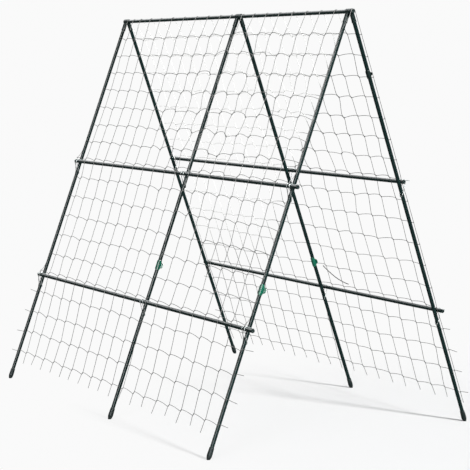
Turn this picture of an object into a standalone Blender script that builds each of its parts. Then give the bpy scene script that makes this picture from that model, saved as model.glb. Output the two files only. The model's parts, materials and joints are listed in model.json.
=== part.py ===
"""Free-standing triangular trellis: two leaning frames of coated steel stakes that hinge on one ridge bar,
with a climbing net over them.

The ridge runs along X, the front frame leans back from -Y, the back frame from +Y, and +Z is up.
The origin is on the floor under the middle of the whole part. All lengths are in metres.
"""
import math

import bmesh
import bpy
from mathutils import Matrix

MM = 0.001
MERGE_DISTANCE = 0.001 * MM

# The triangle and its bays
RIDGE_HEIGHT = 1.675
FOOT_HALF_WIDTH = 0.624
LEFT_BAY = 0.986
RIGHT_BAY = 0.779
UPPER_BAR_HEIGHT = 1.006
LOWER_BAR_HEIGHT = 0.475

# The stakes
STAKE_RADIUS = 8.0 * MM
STAKE_WALL = 0.8 * MM
STAKE_SIDES = 16
CLEARANCE = 0.3 * MM
BAR_LEFT_OVERHANG = 25.0 * MM
RIDGE_LEFT_OVERHANG = 13.0 * MM
BAR_RIGHT_OVERHANG = 41.0 * MM
SHORT_BAR_RIGHT_OVERHANG = 21.0 * MM

# The eyelet caps on top of the legs
CAP_WALL = 1.2 * MM
EYELET_WALL = 2.8 * MM
SOCKET_END_WALL = 5.0 * MM
SOCKET_DEPTH = 32.0 * MM
SOCKET_TAPER = 0.3 * MM
EYELET_BEVEL = 1.2 * MM
EYELET_SIDES = 16

# The feet
FOOT_LENGTH = 47.0 * MM
FOOT_SOLE_RADIUS = 7.6 * MM
FOOT_BULGE_RADIUS = 10.8 * MM
FOOT_BULGE_HEIGHT = 17.0 * MM
FOOT_COLLAR_WALL = 1.1 * MM
FOOT_FLOOR = 10.0 * MM
FOOT_SKIRT = 4.5 * MM
FOOT_LOWER_STEPS = 3
FOOT_UPPER_STEPS = 2

# The plugs in the ends of the bars
PLUG_HEAD = 3.0 * MM
PLUG_DOME = 3.0 * MM
PLUG_SPIGOT = 12.0 * MM
PLUG_RIM = 1.4 * MM
PLUG_BEVEL = 0.8 * MM
PLUG_RECESS = 0.8 * MM
PLUG_DOME_STEPS = 2

# The sprung wire clips
WIRE_RADIUS = 1.25 * MM
WIRE_DROP = 40.0 * MM
WIRE_HOOK_END = math.radians(150.0)
WIRE_BIGHT_STEPS = 7
WIRE_HOOK_STEPS = 6

# The snap clips that hold the net
NET_CLIP_WALL = 2.0 * MM
NET_CLIP_LENGTH = 44.0 * MM
NET_CLIP_TAB = 9.5 * MM
NET_CLIP_TAB_LENGTH = 24.0 * MM
SMALL_CLIP_LENGTH = 34.0 * MM
SMALL_CLIP_TAB = 8.0 * MM
SMALL_CLIP_TAB_LENGTH = 13.0 * MM
NET_CLIP_TAB_ROUNDING = 0.85
NET_CLIP_TAB_STEPS = 3
NET_CLIP_LIP = math.radians(-115.0)
NET_CLIP_SHELL_END = math.radians(75.0)
NET_CLIP_TAB_ANGLE = math.radians(88.0)
NET_CLIP_TAPER = math.radians(140.0)
NET_CLIP_STEPS = 12
NET_CLIP_TURN = {"front": math.radians(55.0), "back": math.radians(-148.0)}
FRONT_MIDDLE_CLIP_HEIGHT = 0.631
FRONT_RIGHT_CLIP_HEIGHT = 0.624
BACK_MIDDLE_CLIP_HEIGHT = 0.598
BACK_RIGHT_CLIP_HEIGHT = 1.436

# The net
CORD_THICKNESS = 2.0 * MM
NET_COLUMN_GAPS = 12
NET_TOP_ROWS = 5
NET_MIDDLE_ROWS = 4
NET_BOTTOM_ROWS = 3
NET_FIRST_ROW = 90.0 * MM
NET_HEM_LENGTH = 1.650
NET_ABOVE_BAR = 34.0 * MM
NET_BELOW_BAR = 75.0 * MM
NET_EDGE_OFFSET = 4.0 * MM
NET_HOOK_GAP = 0.9 * MM
NET_SIDE_REACH = 76.0 * MM
NET_HEM_TAIL = 45.0 * MM
NET_KNOT_DRIFT = 5.0 * MM
NET_COLUMN_PHASE = 2.3
NET_ROW_PHASE = 1.7
NET_WRAP_STEPS = 5
NET_SEAM = 1.3 * MM

# Sizes that follow from the ones above
LEAN = math.atan2(FOOT_HALF_WIDTH, RIDGE_HEIGHT)
LEG_RUN = math.hypot(FOOT_HALF_WIDTH, RIDGE_HEIGHT)
BORE_RADIUS = STAKE_RADIUS + CLEARANCE
SOCKET_RADIUS = BORE_RADIUS + CAP_WALL
EYELET_RADIUS = BORE_RADIUS + EYELET_WALL
SOCKET_END = BORE_RADIUS + SOCKET_END_WALL
LEG_OFFSET = SOCKET_RADIUS + CLEARANCE / 2.0
BAR_STANDOFF = 2.0 * STAKE_RADIUS + CLEARANCE
WIRE_BEND = STAKE_RADIUS + CLEARANCE + WIRE_RADIUS
CORD_BEND = STAKE_RADIUS + CLEARANCE + CORD_THICKNESS / 2.0
CORD_KEEP_OUT = LEG_OFFSET + max(SOCKET_RADIUS, WIRE_BEND + WIRE_RADIUS) + CORD_THICKNESS
NET_HOOK_OFFSET = WIRE_BEND + WIRE_RADIUS + NET_HOOK_GAP + CORD_THICKNESS / 2.0
NET_RIDGE_HOLD = EYELET_RADIUS + CORD_KEEP_OUT / 2.0
PLUG_REACH = CLEARANCE + PLUG_HEAD + PLUG_DOME
LEFT_REACH = max(NET_SIDE_REACH, BAR_LEFT_OVERHANG + PLUG_REACH)
RIGHT_REACH = max(NET_SIDE_REACH, BAR_RIGHT_OVERHANG + PLUG_REACH)
LEFT_X = LEFT_REACH - (LEFT_REACH + LEFT_BAY + RIGHT_BAY + RIGHT_REACH) / 2.0
MIDDLE_X = LEFT_X + LEFT_BAY
RIGHT_X = MIDDLE_X + RIGHT_BAY
FRAME_X = {"left": LEFT_X, "middle": MIDDLE_X, "right": RIGHT_X}
SIDES = {"front": -1.0, "back": 1.0}


def down_leg(height):
    """Distance down a leg from the ridge axis to a height above the floor."""
    return (RIDGE_HEIGHT - height) / math.cos(LEAN)


UPPER_BAR_RUN = down_leg(UPPER_BAR_HEIGHT)
LOWER_BAR_RUN = down_leg(LOWER_BAR_HEIGHT)


def empty_scene():
    """Remove every object of the scene that Blender opened with."""
    for thing in list(bpy.data.objects):
        bpy.data.objects.remove(thing, do_unlink=True)


def plastic(name, colour, roughness):
    """A coloured plastic coat, with no metal showing."""
    material = bpy.data.materials.new(name)
    material.use_nodes = True
    shader = material.node_tree.nodes["Principled BSDF"]
    shader.inputs["Base Color"].default_value = (*colour, 1.0)
    shader.inputs["Roughness"].default_value = roughness
    shader.inputs["Metallic"].default_value = 0.0
    return material


def metal(name, colour, roughness):
    """Bare or thinly coated wire."""
    material = plastic(name, colour, roughness)
    shader = material.node_tree.nodes["Principled BSDF"]
    shader.inputs["Metallic"].default_value = 0.6
    return material


def add_piece(name, data, frame, place, material, turn=(0.0, 0.0, 0.0)):
    """Put a mesh or curve into a frame: place is across, outward and up along the leg."""
    if not data.materials:
        data.materials.append(material)
    piece = bpy.data.objects.new(name, data)
    bpy.context.scene.collection.objects.link(piece)
    piece.parent = frame
    piece.location = place
    piece.rotation_euler = turn
    return piece


def add_frame(name, side):
    """An empty on the hinge axis, turned so that its Z runs up the legs and its Y points outward."""
    frame = bpy.data.objects.new(name, None)
    bpy.context.scene.collection.objects.link(frame)
    frame.location = (0.0, 0.0, RIDGE_HEIGHT)
    half_turn = math.pi if side < 0 else 0.0
    frame.rotation_euler = (LEAN, 0.0, half_turn)
    return frame


def finish_mesh(name, shape, sharp_degrees=40.0):
    """Turn a bmesh into a smooth shaded mesh with its real corners kept sharp."""
    mesh = bpy.data.meshes.new(name)
    bmesh.ops.recalc_face_normals(shape, faces=shape.faces)
    shape.to_mesh(mesh)
    shape.free()
    mesh.shade_smooth()
    mesh.set_sharp_from_angle(angle=math.radians(sharp_degrees))
    return mesh


def turned(profile, sides, closed=False):
    """Spin a profile of (radius, height) points about Z. An open one starts and ends on the axis."""
    shape = bmesh.new()
    points = [shape.verts.new((radius, 0.0, height)) for radius, height in profile]
    ends = points[1:] + points[:1] if closed else points[1:]
    edges = [shape.edges.new(pair) for pair in zip(points, ends)]
    bmesh.ops.spin(shape, geom=points + edges, cent=(0.0, 0.0, 0.0), axis=(0.0, 0.0, 1.0),
                   angle=math.tau, steps=sides, use_merge=True)
    bmesh.ops.remove_doubles(shape, verts=shape.verts, dist=MERGE_DISTANCE)
    bmesh.ops.recalc_face_normals(shape, faces=shape.faces)
    return shape


def stake_mesh(name, length):
    """An open-ended tube that hangs down from its origin."""
    inner = STAKE_RADIUS - STAKE_WALL
    profile = [(STAKE_RADIUS, 0.0), (STAKE_RADIUS, -length), (inner, -length), (inner, 0.0)]
    return finish_mesh(name, turned(profile, STAKE_SIDES, closed=True))


def tool_object(name, shape):
    """A body that is joined to or cut from another one."""
    mesh = bpy.data.meshes.new(name)
    shape.to_mesh(mesh)
    shape.free()
    tool = bpy.data.objects.new(name, mesh)
    tool.hide_render = True
    tool.display_type = "WIRE"
    bpy.context.scene.collection.objects.link(tool)
    return tool


def carved_mesh(name, body, joined, cuts):
    """Join and cut closed bodies, then keep only the finished mesh."""
    target = tool_object(name, body)
    tools = [(tool_object(f"{name}_join_{i}", shape), "UNION") for i, shape in enumerate(joined)]
    tools += [(tool_object(f"{name}_cut_{i}", shape), "DIFFERENCE") for i, shape in enumerate(cuts)]
    for tool, operation in tools:
        step = target.modifiers.new(tool.name, "BOOLEAN")
        step.operation = operation
        step.solver = "EXACT"
        step.object = tool
    evaluated = target.evaluated_get(bpy.context.evaluated_depsgraph_get())
    mesh = bpy.data.meshes.new_from_object(evaluated)
    mesh.name = name
    for thing in [target] + [tool for tool, operation in tools]:
        bpy.data.objects.remove(thing, do_unlink=True)
    mesh.shade_smooth()
    mesh.set_sharp_from_angle(angle=math.radians(40.0))
    return mesh


def across(shape):
    """Lay a turned body along X."""
    bmesh.ops.rotate(shape, verts=shape.verts, matrix=Matrix.Rotation(math.pi / 2.0, 3, "Y"))
    return shape


def eyelet_cap_mesh():
    """A ring on the ridge bar with a socket below it for the top of one leg."""
    half_width = SOCKET_RADIUS
    mouth = SOCKET_END + SOCKET_DEPTH
    ring = across(turned([
        (0.0, half_width),
        (EYELET_RADIUS - EYELET_BEVEL, half_width),
        (EYELET_RADIUS, half_width - EYELET_BEVEL),
        (EYELET_RADIUS, EYELET_BEVEL - half_width),
        (EYELET_RADIUS - EYELET_BEVEL, -half_width),
        (0.0, -half_width),
    ], EYELET_SIDES))
    socket = turned([
        (0.0, 0.0),
        (SOCKET_RADIUS - SOCKET_TAPER, 0.0),
        (SOCKET_RADIUS - SOCKET_TAPER, -EYELET_RADIUS),
        (SOCKET_RADIUS - SOCKET_TAPER, SOCKET_TAPER - mouth),
        (SOCKET_RADIUS - 2.0 * SOCKET_TAPER, -mouth),
        (0.0, -mouth),
    ], EYELET_SIDES)
    ridge_bore = across(turned([
        (0.0, 2.0 * half_width),
        (BORE_RADIUS, 2.0 * half_width),
        (BORE_RADIUS, -2.0 * half_width),
        (0.0, -2.0 * half_width),
    ], EYELET_SIDES))
    leg_bore = turned([
        (0.0, -SOCKET_END),
        (BORE_RADIUS, -SOCKET_END),
        (BORE_RADIUS, -2.0 * mouth),
        (0.0, -2.0 * mouth),
    ], EYELET_SIDES)
    return carved_mesh("eyelet_cap", ring, [socket], [ridge_bore, leg_bore])


def foot_mesh():
    """A teardrop boot with a blind bore, cut flat where it stands on the floor."""
    collar = BORE_RADIUS + FOOT_COLLAR_WALL
    profile = [(0.0, -FOOT_SKIRT), (FOOT_SOLE_RADIUS, -FOOT_SKIRT)]
    for i in range(FOOT_LOWER_STEPS + 1):
        share = i / FOOT_LOWER_STEPS
        swell = math.sin(0.5 * math.pi * share)
        radius = FOOT_SOLE_RADIUS + (FOOT_BULGE_RADIUS - FOOT_SOLE_RADIUS) * swell
        profile.append((radius, FOOT_BULGE_HEIGHT * share))
    for i in range(1, FOOT_UPPER_STEPS + 1):
        share = i / FOOT_UPPER_STEPS
        swell = 0.5 + 0.5 * math.cos(math.pi * share)
        radius = collar + (FOOT_BULGE_RADIUS - collar) * swell
        profile.append((radius, FOOT_BULGE_HEIGHT + (FOOT_LENGTH - FOOT_BULGE_HEIGHT) * share))
    profile += [(BORE_RADIUS, FOOT_LENGTH), (BORE_RADIUS, FOOT_FLOOR), (0.0, FOOT_FLOOR)]
    shape = turned(profile, STAKE_SIDES)
    floor_normal = (0.0, math.sin(LEAN), math.cos(LEAN))
    everything = shape.verts[:] + shape.edges[:] + shape.faces[:]
    bmesh.ops.bisect_plane(shape, geom=everything, plane_co=(0.0, 0.0, 0.0), plane_no=floor_normal,
                           clear_inner=True, dist=MERGE_DISTANCE)
    rim = [edge for edge in shape.edges if edge.is_boundary]
    bmesh.ops.edgeloop_fill(shape, edges=rim)
    return finish_mesh("foot", shape)


def plug_mesh(name, domed):
    """A plug for a bar end: its head is flush with the bar and its spigot fills the bore."""
    spigot = STAKE_RADIUS - STAKE_WALL - CLEARANCE
    if domed:
        head = []
        for i in range(PLUG_DOME_STEPS + 1):
            angle = 0.5 * math.pi * i / PLUG_DOME_STEPS
            head.append((STAKE_RADIUS * math.sin(angle), PLUG_HEAD + PLUG_DOME * math.cos(angle)))
    else:
        head = [
            (0.0, PLUG_HEAD - PLUG_RECESS),
            (STAKE_RADIUS - 2.0 * PLUG_RIM, PLUG_HEAD - PLUG_RECESS),
            (STAKE_RADIUS - PLUG_BEVEL, PLUG_HEAD),
            (STAKE_RADIUS, PLUG_HEAD - PLUG_BEVEL),
        ]
    body = [
        (STAKE_RADIUS, CLEARANCE),
        (spigot, CLEARANCE),
        (spigot, -PLUG_SPIGOT),
        (0.0, -PLUG_SPIGOT),
    ]
    return finish_mesh(name, turned(head + body, STAKE_SIDES))


def wire_clip_points():
    """The clip lies in two leaning planes: a bight behind the leg and a hook over the bar on either side.

    Coordinates are across, outward and up, from the middle of the leg beside the bar.
    """
    reach = math.hypot(BAR_STANDOFF, WIRE_DROP)
    toward_drop = math.atan2(-WIRE_DROP, -BAR_STANDOFF)
    touch = toward_drop + math.acos(WIRE_BEND / reach)
    hook = []
    for i in range(WIRE_HOOK_STEPS + 1):
        angle = touch + (WIRE_HOOK_END - touch) * i / WIRE_HOOK_STEPS
        hook.append((BAR_STANDOFF + WIRE_BEND * math.cos(angle), WIRE_BEND * math.sin(angle)))
    arm_out = hook[0][0]
    arm_up = hook[0][1] + WIRE_DROP
    slope = arm_up / arm_out
    bight = []
    for i in range(WIRE_BIGHT_STEPS + 1):
        angle = math.pi * i / WIRE_BIGHT_STEPS
        inward = WIRE_BEND * math.sin(angle)
        bight.append((WIRE_BEND * math.cos(angle), -inward, -WIRE_DROP - slope * inward))
    first_arm = [(WIRE_BEND, out, up) for out, up in reversed(hook)]
    second_arm = [(-WIRE_BEND, out, up) for out, up in hook]
    return first_arm + bight + second_arm


def wire_clip_curve():
    """One clip as a round wire along its path."""
    points = wire_clip_points()
    curve = bpy.data.curves.new("wire_clip", "CURVE")
    curve.dimensions = "3D"
    spline = curve.splines.new("POLY")
    spline.points.add(len(points) - 1)
    for knot, point in zip(spline.points, points):
        knot.co = (*point, 1.0)
    curve.bevel_depth = WIRE_RADIUS
    curve.bevel_resolution = 1
    curve.use_fill_caps = True
    return curve


def net_clip_mesh(length, tab, tab_length):
    """A springy shell round a leg, tapered to its lip, with a thumb tab that turns outward."""
    middle = BORE_RADIUS + NET_CLIP_WALL / 2.0
    stations = []
    for i in range(NET_CLIP_STEPS + 1):
        angle = NET_CLIP_LIP + (NET_CLIP_SHELL_END - NET_CLIP_LIP) * i / NET_CLIP_STEPS
        half = 0.5 * length * math.sqrt(1.0 - (angle / NET_CLIP_TAPER) ** 2)
        stations.append((angle, middle, half))
    for i in range(1, NET_CLIP_TAB_STEPS + 1):
        share = i / NET_CLIP_TAB_STEPS
        half = 0.5 * tab_length * math.sqrt(1.0 - (NET_CLIP_TAB_ROUNDING * share) ** 2)
        stations.append((NET_CLIP_TAB_ANGLE, middle + share * tab, half))
    shape = bmesh.new()
    pairs = []
    for angle, radius, half in stations:
        x = -radius * math.sin(angle)
        y = radius * math.cos(angle)
        pairs.append((shape.verts.new((x, y, -half)), shape.verts.new((x, y, half))))
    for (low, high), (next_low, next_high) in zip(pairs, pairs[1:]):
        shape.faces.new((low, next_low, next_high, high))
    mesh = bpy.data.meshes.new("net_clip")
    shape.to_mesh(mesh)
    shape.free()
    return mesh


def add_wall(piece, thickness):
    """Give a sheet its thickness, half to either side."""
    wall = piece.modifiers.new("wall", "SOLIDIFY")
    wall.thickness = thickness
    wall.offset = 0.0
    wall.use_even_offset = True


def net_row_runs():
    """Distances down the leg of the cross cords, in the three fields between ridge, bars and hem."""
    fields = (
        (NET_FIRST_ROW, UPPER_BAR_RUN - NET_ABOVE_BAR, NET_TOP_ROWS),
        (UPPER_BAR_RUN + NET_BELOW_BAR, LOWER_BAR_RUN - NET_ABOVE_BAR, NET_MIDDLE_ROWS),
        (LOWER_BAR_RUN + NET_BELOW_BAR, NET_HEM_LENGTH, NET_BOTTOM_ROWS),
    )
    runs = []
    for first, last, count in fields:
        runs += [first + (last - first) * i / (count - 1) for i in range(count)]
    return runs


def net_outward(run):
    """How far the cords lie outside the legs' plane: on the ridge bar, over both side bars, on the legs."""
    over_bar = BAR_STANDOFF + CORD_BEND
    if run < UPPER_BAR_RUN:
        return CORD_BEND + (over_bar - CORD_BEND) * run / UPPER_BAR_RUN
    if run < LOWER_BAR_RUN:
        return over_bar
    fall = min(1.0, (run - LOWER_BAR_RUN) / (NET_HEM_LENGTH - LOWER_BAR_RUN))
    return over_bar + (CORD_BEND - over_bar) * fall


def clear_of_caps(x):
    """Move a cord sideways off the eyelet caps where it turns over the ridge."""
    for frame_x in FRAME_X.values():
        if abs(x - frame_x) < CORD_KEEP_OUT:
            return frame_x + math.copysign(CORD_KEEP_OUT, x - frame_x)
    return x


def net_across(side, column):
    """Where a lengthwise cord lies across one frame. The back half clears the hooks of the wire clips."""
    left_edge = LEFT_X + side * LEG_OFFSET + (NET_EDGE_OFFSET if side < 0 else NET_HOOK_OFFSET)
    return left_edge + (LEFT_BAY + RIGHT_BAY) * column / NET_COLUMN_GAPS


def net_stops(side, column):
    """Points down one lengthwise cord as (across, outward, up). A row gives two, one either side of it."""
    half = CORD_THICKNESS / 2.0
    leave = math.atan2(BAR_STANDOFF, UPPER_BAR_RUN)
    own_x = net_across(side, column)
    ridge_x = clear_of_caps((own_x + net_across(-side, column)) / 2.0)
    stops = []
    if side > 0:
        seam = math.pi - 2.0 * LEAN - leave - NET_SEAM / CORD_BEND
        for i in range(NET_WRAP_STEPS):
            angle = seam + (leave - seam) * i / NET_WRAP_STEPS
            stops.append((ridge_x, CORD_BEND * math.cos(angle), CORD_BEND * math.sin(angle)))
    stops.append((ridge_x, CORD_BEND * math.cos(leave), CORD_BEND * math.sin(leave)))
    stops.append((ridge_x, net_outward(NET_RIDGE_HOLD), -NET_RIDGE_HOLD))
    places = [(run, row) for row, run in enumerate(net_row_runs())]
    places += [(UPPER_BAR_RUN, None), (LOWER_BAR_RUN, None), (NET_HEM_LENGTH + NET_HEM_TAIL, None)]
    rows = []
    for run, row in sorted(places, key=lambda place: place[0]):
        if row is None:
            stops.append((own_x, net_outward(run), -run))
            continue
        edge = column in (0, NET_COLUMN_GAPS)
        phase = NET_COLUMN_PHASE * column + NET_ROW_PHASE * row
        drift = 0.0 if edge else NET_KNOT_DRIFT * math.sin(phase)
        settled = run + NET_KNOT_DRIFT * math.cos(2.0 * phase) if run < NET_HEM_LENGTH else run
        rows.append(len(stops))
        stops.append((own_x + drift, net_outward(settled - half), half - settled))
        stops.append((own_x + drift, net_outward(settled + half), -half - settled))
    return stops, rows


def net_mesh(name, side):
    """A sheet of narrow strips, lengthwise and across, that share a square at every knot."""
    half = CORD_THICKNESS / 2.0
    shape = bmesh.new()
    columns = []
    for column in range(NET_COLUMN_GAPS + 1):
        stops, rows = net_stops(side, column)
        pairs = []
        for x, outward, up in stops:
            left = shape.verts.new((side * (x - half), outward, up))
            right = shape.verts.new((side * (x + half), outward, up))
            pairs.append((left, right))
        for (left, right), (next_left, next_right) in zip(pairs, pairs[1:]):
            shape.faces.new((left, right, next_right, next_left))
        columns.append((pairs, rows))
    for (pairs, rows), (next_pairs, next_rows) in zip(columns, columns[1:]):
        for row, next_row in zip(rows, next_rows):
            top, bottom = pairs[row][1], pairs[row + 1][1]
            next_top, next_bottom = next_pairs[next_row][0], next_pairs[next_row + 1][0]
            shape.faces.new((top, next_top, next_bottom, bottom))
    add_side_tails(shape, columns[0], 0, side * (LEFT_X - NET_SIDE_REACH))
    add_side_tails(shape, columns[-1], 1, side * (RIGHT_X + NET_SIDE_REACH))
    mesh = bpy.data.meshes.new(name)
    bmesh.ops.recalc_face_normals(shape, faces=shape.faces)
    shape.to_mesh(mesh)
    shape.free()
    return mesh


def add_side_tails(shape, column, edge, end_x):
    """The cut ends of the cross cords below the lower bar, which reach out past the end legs."""
    pairs, rows = column
    for row in rows[-NET_BOTTOM_ROWS:]:
        top, bottom = pairs[row][edge], pairs[row + 1][edge]
        outer = [shape.verts.new((end_x, corner.co.y, corner.co.z)) for corner in (top, bottom)]
        shape.faces.new((top, outer[0], outer[1], bottom))


def add_legs(side_name, frame, coat, moulding):
    """Three legs with their eyelet caps and feet."""
    side = SIDES[side_name]
    leg_top = SOCKET_END + CLEARANCE
    leg = stake_mesh("leg", LEG_RUN - FOOT_FLOOR - CLEARANCE - leg_top)
    cap = eyelet_cap_mesh()
    foot = foot_mesh()
    for place_name, frame_x in FRAME_X.items():
        x = side * frame_x + LEG_OFFSET
        name = f"{side_name}_{place_name}"
        add_piece(f"{name}_leg", leg, frame, (x, 0.0, -leg_top), coat)
        add_piece(f"{name}_eyelet_cap", cap, frame, (x, 0.0, 0.0), moulding)
        add_piece(f"{name}_foot", foot, frame, (x, 0.0, -LEG_RUN), moulding)


def add_bar(name, side, frame, place, overhangs, coat, moulding):
    """A bar across all three legs, with a domed plug on its left end and a flat one on its right.

    Its place is outward and down the legs, its overhangs are past the left and the right legs.
    """
    outward, run = place
    left = LEFT_X - overhangs[0]
    right = RIGHT_X + overhangs[1]
    toward_left = -side * math.pi / 2.0
    toward_right = side * math.pi / 2.0
    bar = stake_mesh(name, right - left)
    domed = plug_mesh(f"{name}_left_plug", True)
    flat = plug_mesh(f"{name}_right_plug", False)
    left_end = (side * left, outward, -run)
    right_end = (side * right, outward, -run)
    add_piece(name, bar, frame, right_end, coat, (0.0, toward_right, 0.0))
    add_piece(f"{name}_left_plug", domed, frame, left_end, moulding, (0.0, toward_left, 0.0))
    add_piece(f"{name}_right_plug", flat, frame, right_end, moulding, (0.0, toward_right, 0.0))


def add_side_bars(side_name, frame, coat, moulding):
    """The upper and the lower bar on the outer side of one frame."""
    side = SIDES[side_name]
    upper_right = BAR_RIGHT_OVERHANG if side < 0 else SHORT_BAR_RIGHT_OVERHANG
    bars = {"upper": (UPPER_BAR_RUN, upper_right), "lower": (LOWER_BAR_RUN, BAR_RIGHT_OVERHANG)}
    for level, (run, right) in bars.items():
        place = (BAR_STANDOFF, run)
        add_bar(f"{side_name}_{level}_bar", side, frame, place, (BAR_LEFT_OVERHANG, right), coat, moulding)


def add_wire_clips(side_name, frame, wire):
    """One wire clip at every crossing of a bar and a leg."""
    clip = wire_clip_curve()
    for level, run in (("upper", UPPER_BAR_RUN), ("lower", LOWER_BAR_RUN)):
        for place_name, frame_x in FRAME_X.items():
            x = SIDES[side_name] * frame_x + LEG_OFFSET
            add_piece(f"{side_name}_{level}_{place_name}_wire_clip", clip, frame, (x, 0.0, -run), wire)


def add_net_clip(side_name, place_name, height, sizes, frame, material):
    """One snap clip on a leg. Its sizes are its length, how far its tab stands out and the tab's length."""
    x = SIDES[side_name] * FRAME_X[place_name] + LEG_OFFSET
    place = (x, 0.0, -down_leg(height))
    turn = (0.0, 0.0, NET_CLIP_TURN[side_name])
    shell = net_clip_mesh(*sizes)
    clip = add_piece(f"{side_name}_{place_name}_net_clip", shell, frame, place, material, turn)
    add_wall(clip, NET_CLIP_WALL)


def add_net(side_name, frame, cord):
    """The half of the net that lies on one frame. The back half also passes over the ridge bar."""
    name = f"{side_name}_net"
    net = add_piece(name, net_mesh(name, SIDES[side_name]), frame, (0.0, 0.0, 0.0), cord)
    add_wall(net, CORD_THICKNESS)


def build_trellis():
    """Both frames, the ridge bar and everything on them."""
    coat = plastic("stake_coat", (0.018, 0.033, 0.031), 0.38)
    moulding = plastic("dark_moulding", (0.014, 0.019, 0.019), 0.45)
    wire = metal("clip_wire", (0.03, 0.045, 0.043), 0.4)
    green = plastic("green_clip", (0.012, 0.16, 0.07), 0.25)
    cord = plastic("net_cord", (0.09, 0.095, 0.09), 0.6)
    front = add_frame("front_frame", SIDES["front"])
    back = add_frame("back_frame", SIDES["back"])
    for side_name, frame in (("front", front), ("back", back)):
        add_legs(side_name, frame, coat, moulding)
        add_side_bars(side_name, frame, coat, moulding)
        add_wire_clips(side_name, frame, wire)
        add_net(side_name, frame, cord)
    ridge_overhangs = (RIDGE_LEFT_OVERHANG, SHORT_BAR_RIGHT_OVERHANG)
    add_bar("ridge_bar", SIDES["back"], back, (0.0, 0.0), ridge_overhangs, coat, moulding)
    large = (NET_CLIP_LENGTH, NET_CLIP_TAB, NET_CLIP_TAB_LENGTH)
    small = (SMALL_CLIP_LENGTH, SMALL_CLIP_TAB, SMALL_CLIP_TAB_LENGTH)
    add_net_clip("front", "middle", FRONT_MIDDLE_CLIP_HEIGHT, large, front, green)
    add_net_clip("front", "right", FRONT_RIGHT_CLIP_HEIGHT, large, front, green)
    add_net_clip("back", "middle", BACK_MIDDLE_CLIP_HEIGHT, large, back, green)
    add_net_clip("back", "right", BACK_RIGHT_CLIP_HEIGHT, small, back, moulding)


empty_scene()
build_trellis()
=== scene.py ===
# %% [markdown]
# # A folding garden trellis, dressed for its portrait
#
# The CAD model gives every stake, cap, boot and clip its place and size. This notebook keeps those
# places and adds what the eye expects up close: ribbed stakes, moulded boots, sprung wire, glossy snap
# clips and one knotted net over the ridge.
#
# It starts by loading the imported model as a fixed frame. Nothing in that frame is moved or resized.

# %% Load the frame
import json
import math

import bmesh
import bpy
import numpy as np
from mathutils import Matrix, Vector


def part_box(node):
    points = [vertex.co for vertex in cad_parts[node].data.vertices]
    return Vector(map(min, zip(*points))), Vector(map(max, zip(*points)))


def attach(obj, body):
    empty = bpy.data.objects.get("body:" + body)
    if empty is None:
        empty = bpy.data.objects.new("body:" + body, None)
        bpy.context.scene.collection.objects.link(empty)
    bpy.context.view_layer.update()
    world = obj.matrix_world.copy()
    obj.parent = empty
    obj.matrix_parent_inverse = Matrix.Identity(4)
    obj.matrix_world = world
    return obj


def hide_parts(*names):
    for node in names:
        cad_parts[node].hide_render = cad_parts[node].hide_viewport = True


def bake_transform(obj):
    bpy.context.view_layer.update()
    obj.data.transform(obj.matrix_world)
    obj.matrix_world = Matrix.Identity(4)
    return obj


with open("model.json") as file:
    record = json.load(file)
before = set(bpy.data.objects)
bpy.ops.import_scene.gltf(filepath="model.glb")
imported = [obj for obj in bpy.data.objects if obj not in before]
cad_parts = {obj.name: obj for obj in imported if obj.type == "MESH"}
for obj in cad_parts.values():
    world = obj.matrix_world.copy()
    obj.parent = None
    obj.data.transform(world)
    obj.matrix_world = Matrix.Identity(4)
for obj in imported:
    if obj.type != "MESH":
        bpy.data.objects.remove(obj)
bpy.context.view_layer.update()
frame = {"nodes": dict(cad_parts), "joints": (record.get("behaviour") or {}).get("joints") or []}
MM = 0.001
TAU = 2.0 * math.pi

# %% [markdown]
# ## The camera
#
# The photograph looks along the ridge from its right end, a little above half height. Its angles were
# solved from the pixel lines of the stakes, so they are used as they are: a turn about the upright axis, a
# small downward tilt and a very small roll. The lens follows from the focal length in pixels on a sensor
# 36 mm wide. No shift is needed, because the middle of the picture is where the camera points.

# %% Camera
PICTURE_SIDE = 470.0
SENSOR_WIDTH = 36.0
CAMERA_PLACE = np.array((5.5926, -3.5653, 1.4530))
CAMERA_YAW = 0.99642
CAMERA_PITCH = -0.10876
CAMERA_ROLL = 0.00648
FOCAL_PIXELS = 1521.06


def new_object(name, data):
    """An object at the origin, linked into the scene."""
    made = bpy.data.objects.new(name, data)
    bpy.context.scene.collection.objects.link(made)
    return made


def camera_axes(yaw, pitch, roll):
    """Forward, right and up of a camera that looks along +Y before it is turned."""
    forward = np.array((-math.sin(yaw) * math.cos(pitch), math.cos(yaw) * math.cos(pitch), math.sin(pitch)))
    level = np.array((math.cos(yaw), math.sin(yaw), 0.0))
    up = np.cross(level, forward)
    right = level * math.cos(roll) + up * math.sin(roll)
    return forward, right, np.cross(right, forward)


camera = new_object("camera", bpy.data.cameras.new("camera"))
bpy.context.scene.camera = camera
camera.data.sensor_width = SENSOR_WIDTH
camera.data.lens = SENSOR_WIDTH * FOCAL_PIXELS / PICTURE_SIDE
camera.data.clip_end = 100.0
looking, rightward, upward = camera_axes(CAMERA_YAW, CAMERA_PITCH, CAMERA_ROLL)
camera.location = CAMERA_PLACE
camera.rotation_mode = "QUATERNION"
turn = np.column_stack((rightward, upward, -looking))
camera.rotation_quaternion = Matrix(turn.tolist()).to_quaternion()
print("lens in mm:", round(camera.data.lens, 2))

# %% [markdown]
# ## Writing shader maths as sums
#
# Node trees are easier to read as expressions. A small class wraps an output socket, so that
# `0.4 + 0.1 * grain` adds the Math nodes by itself. Every other node comes from one method that sets the
# node's own settings first and its sockets after that. Materials and the sky share it.

# %% Shader helpers
def operators(operation):
    """The plain and the reflected operator of one kind of Math node."""
    def plain(self, other):
        return self.maths(operation, self, other)

    def reflected(self, other):
        return self.maths(operation, other, self)

    return plain, reflected


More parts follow.
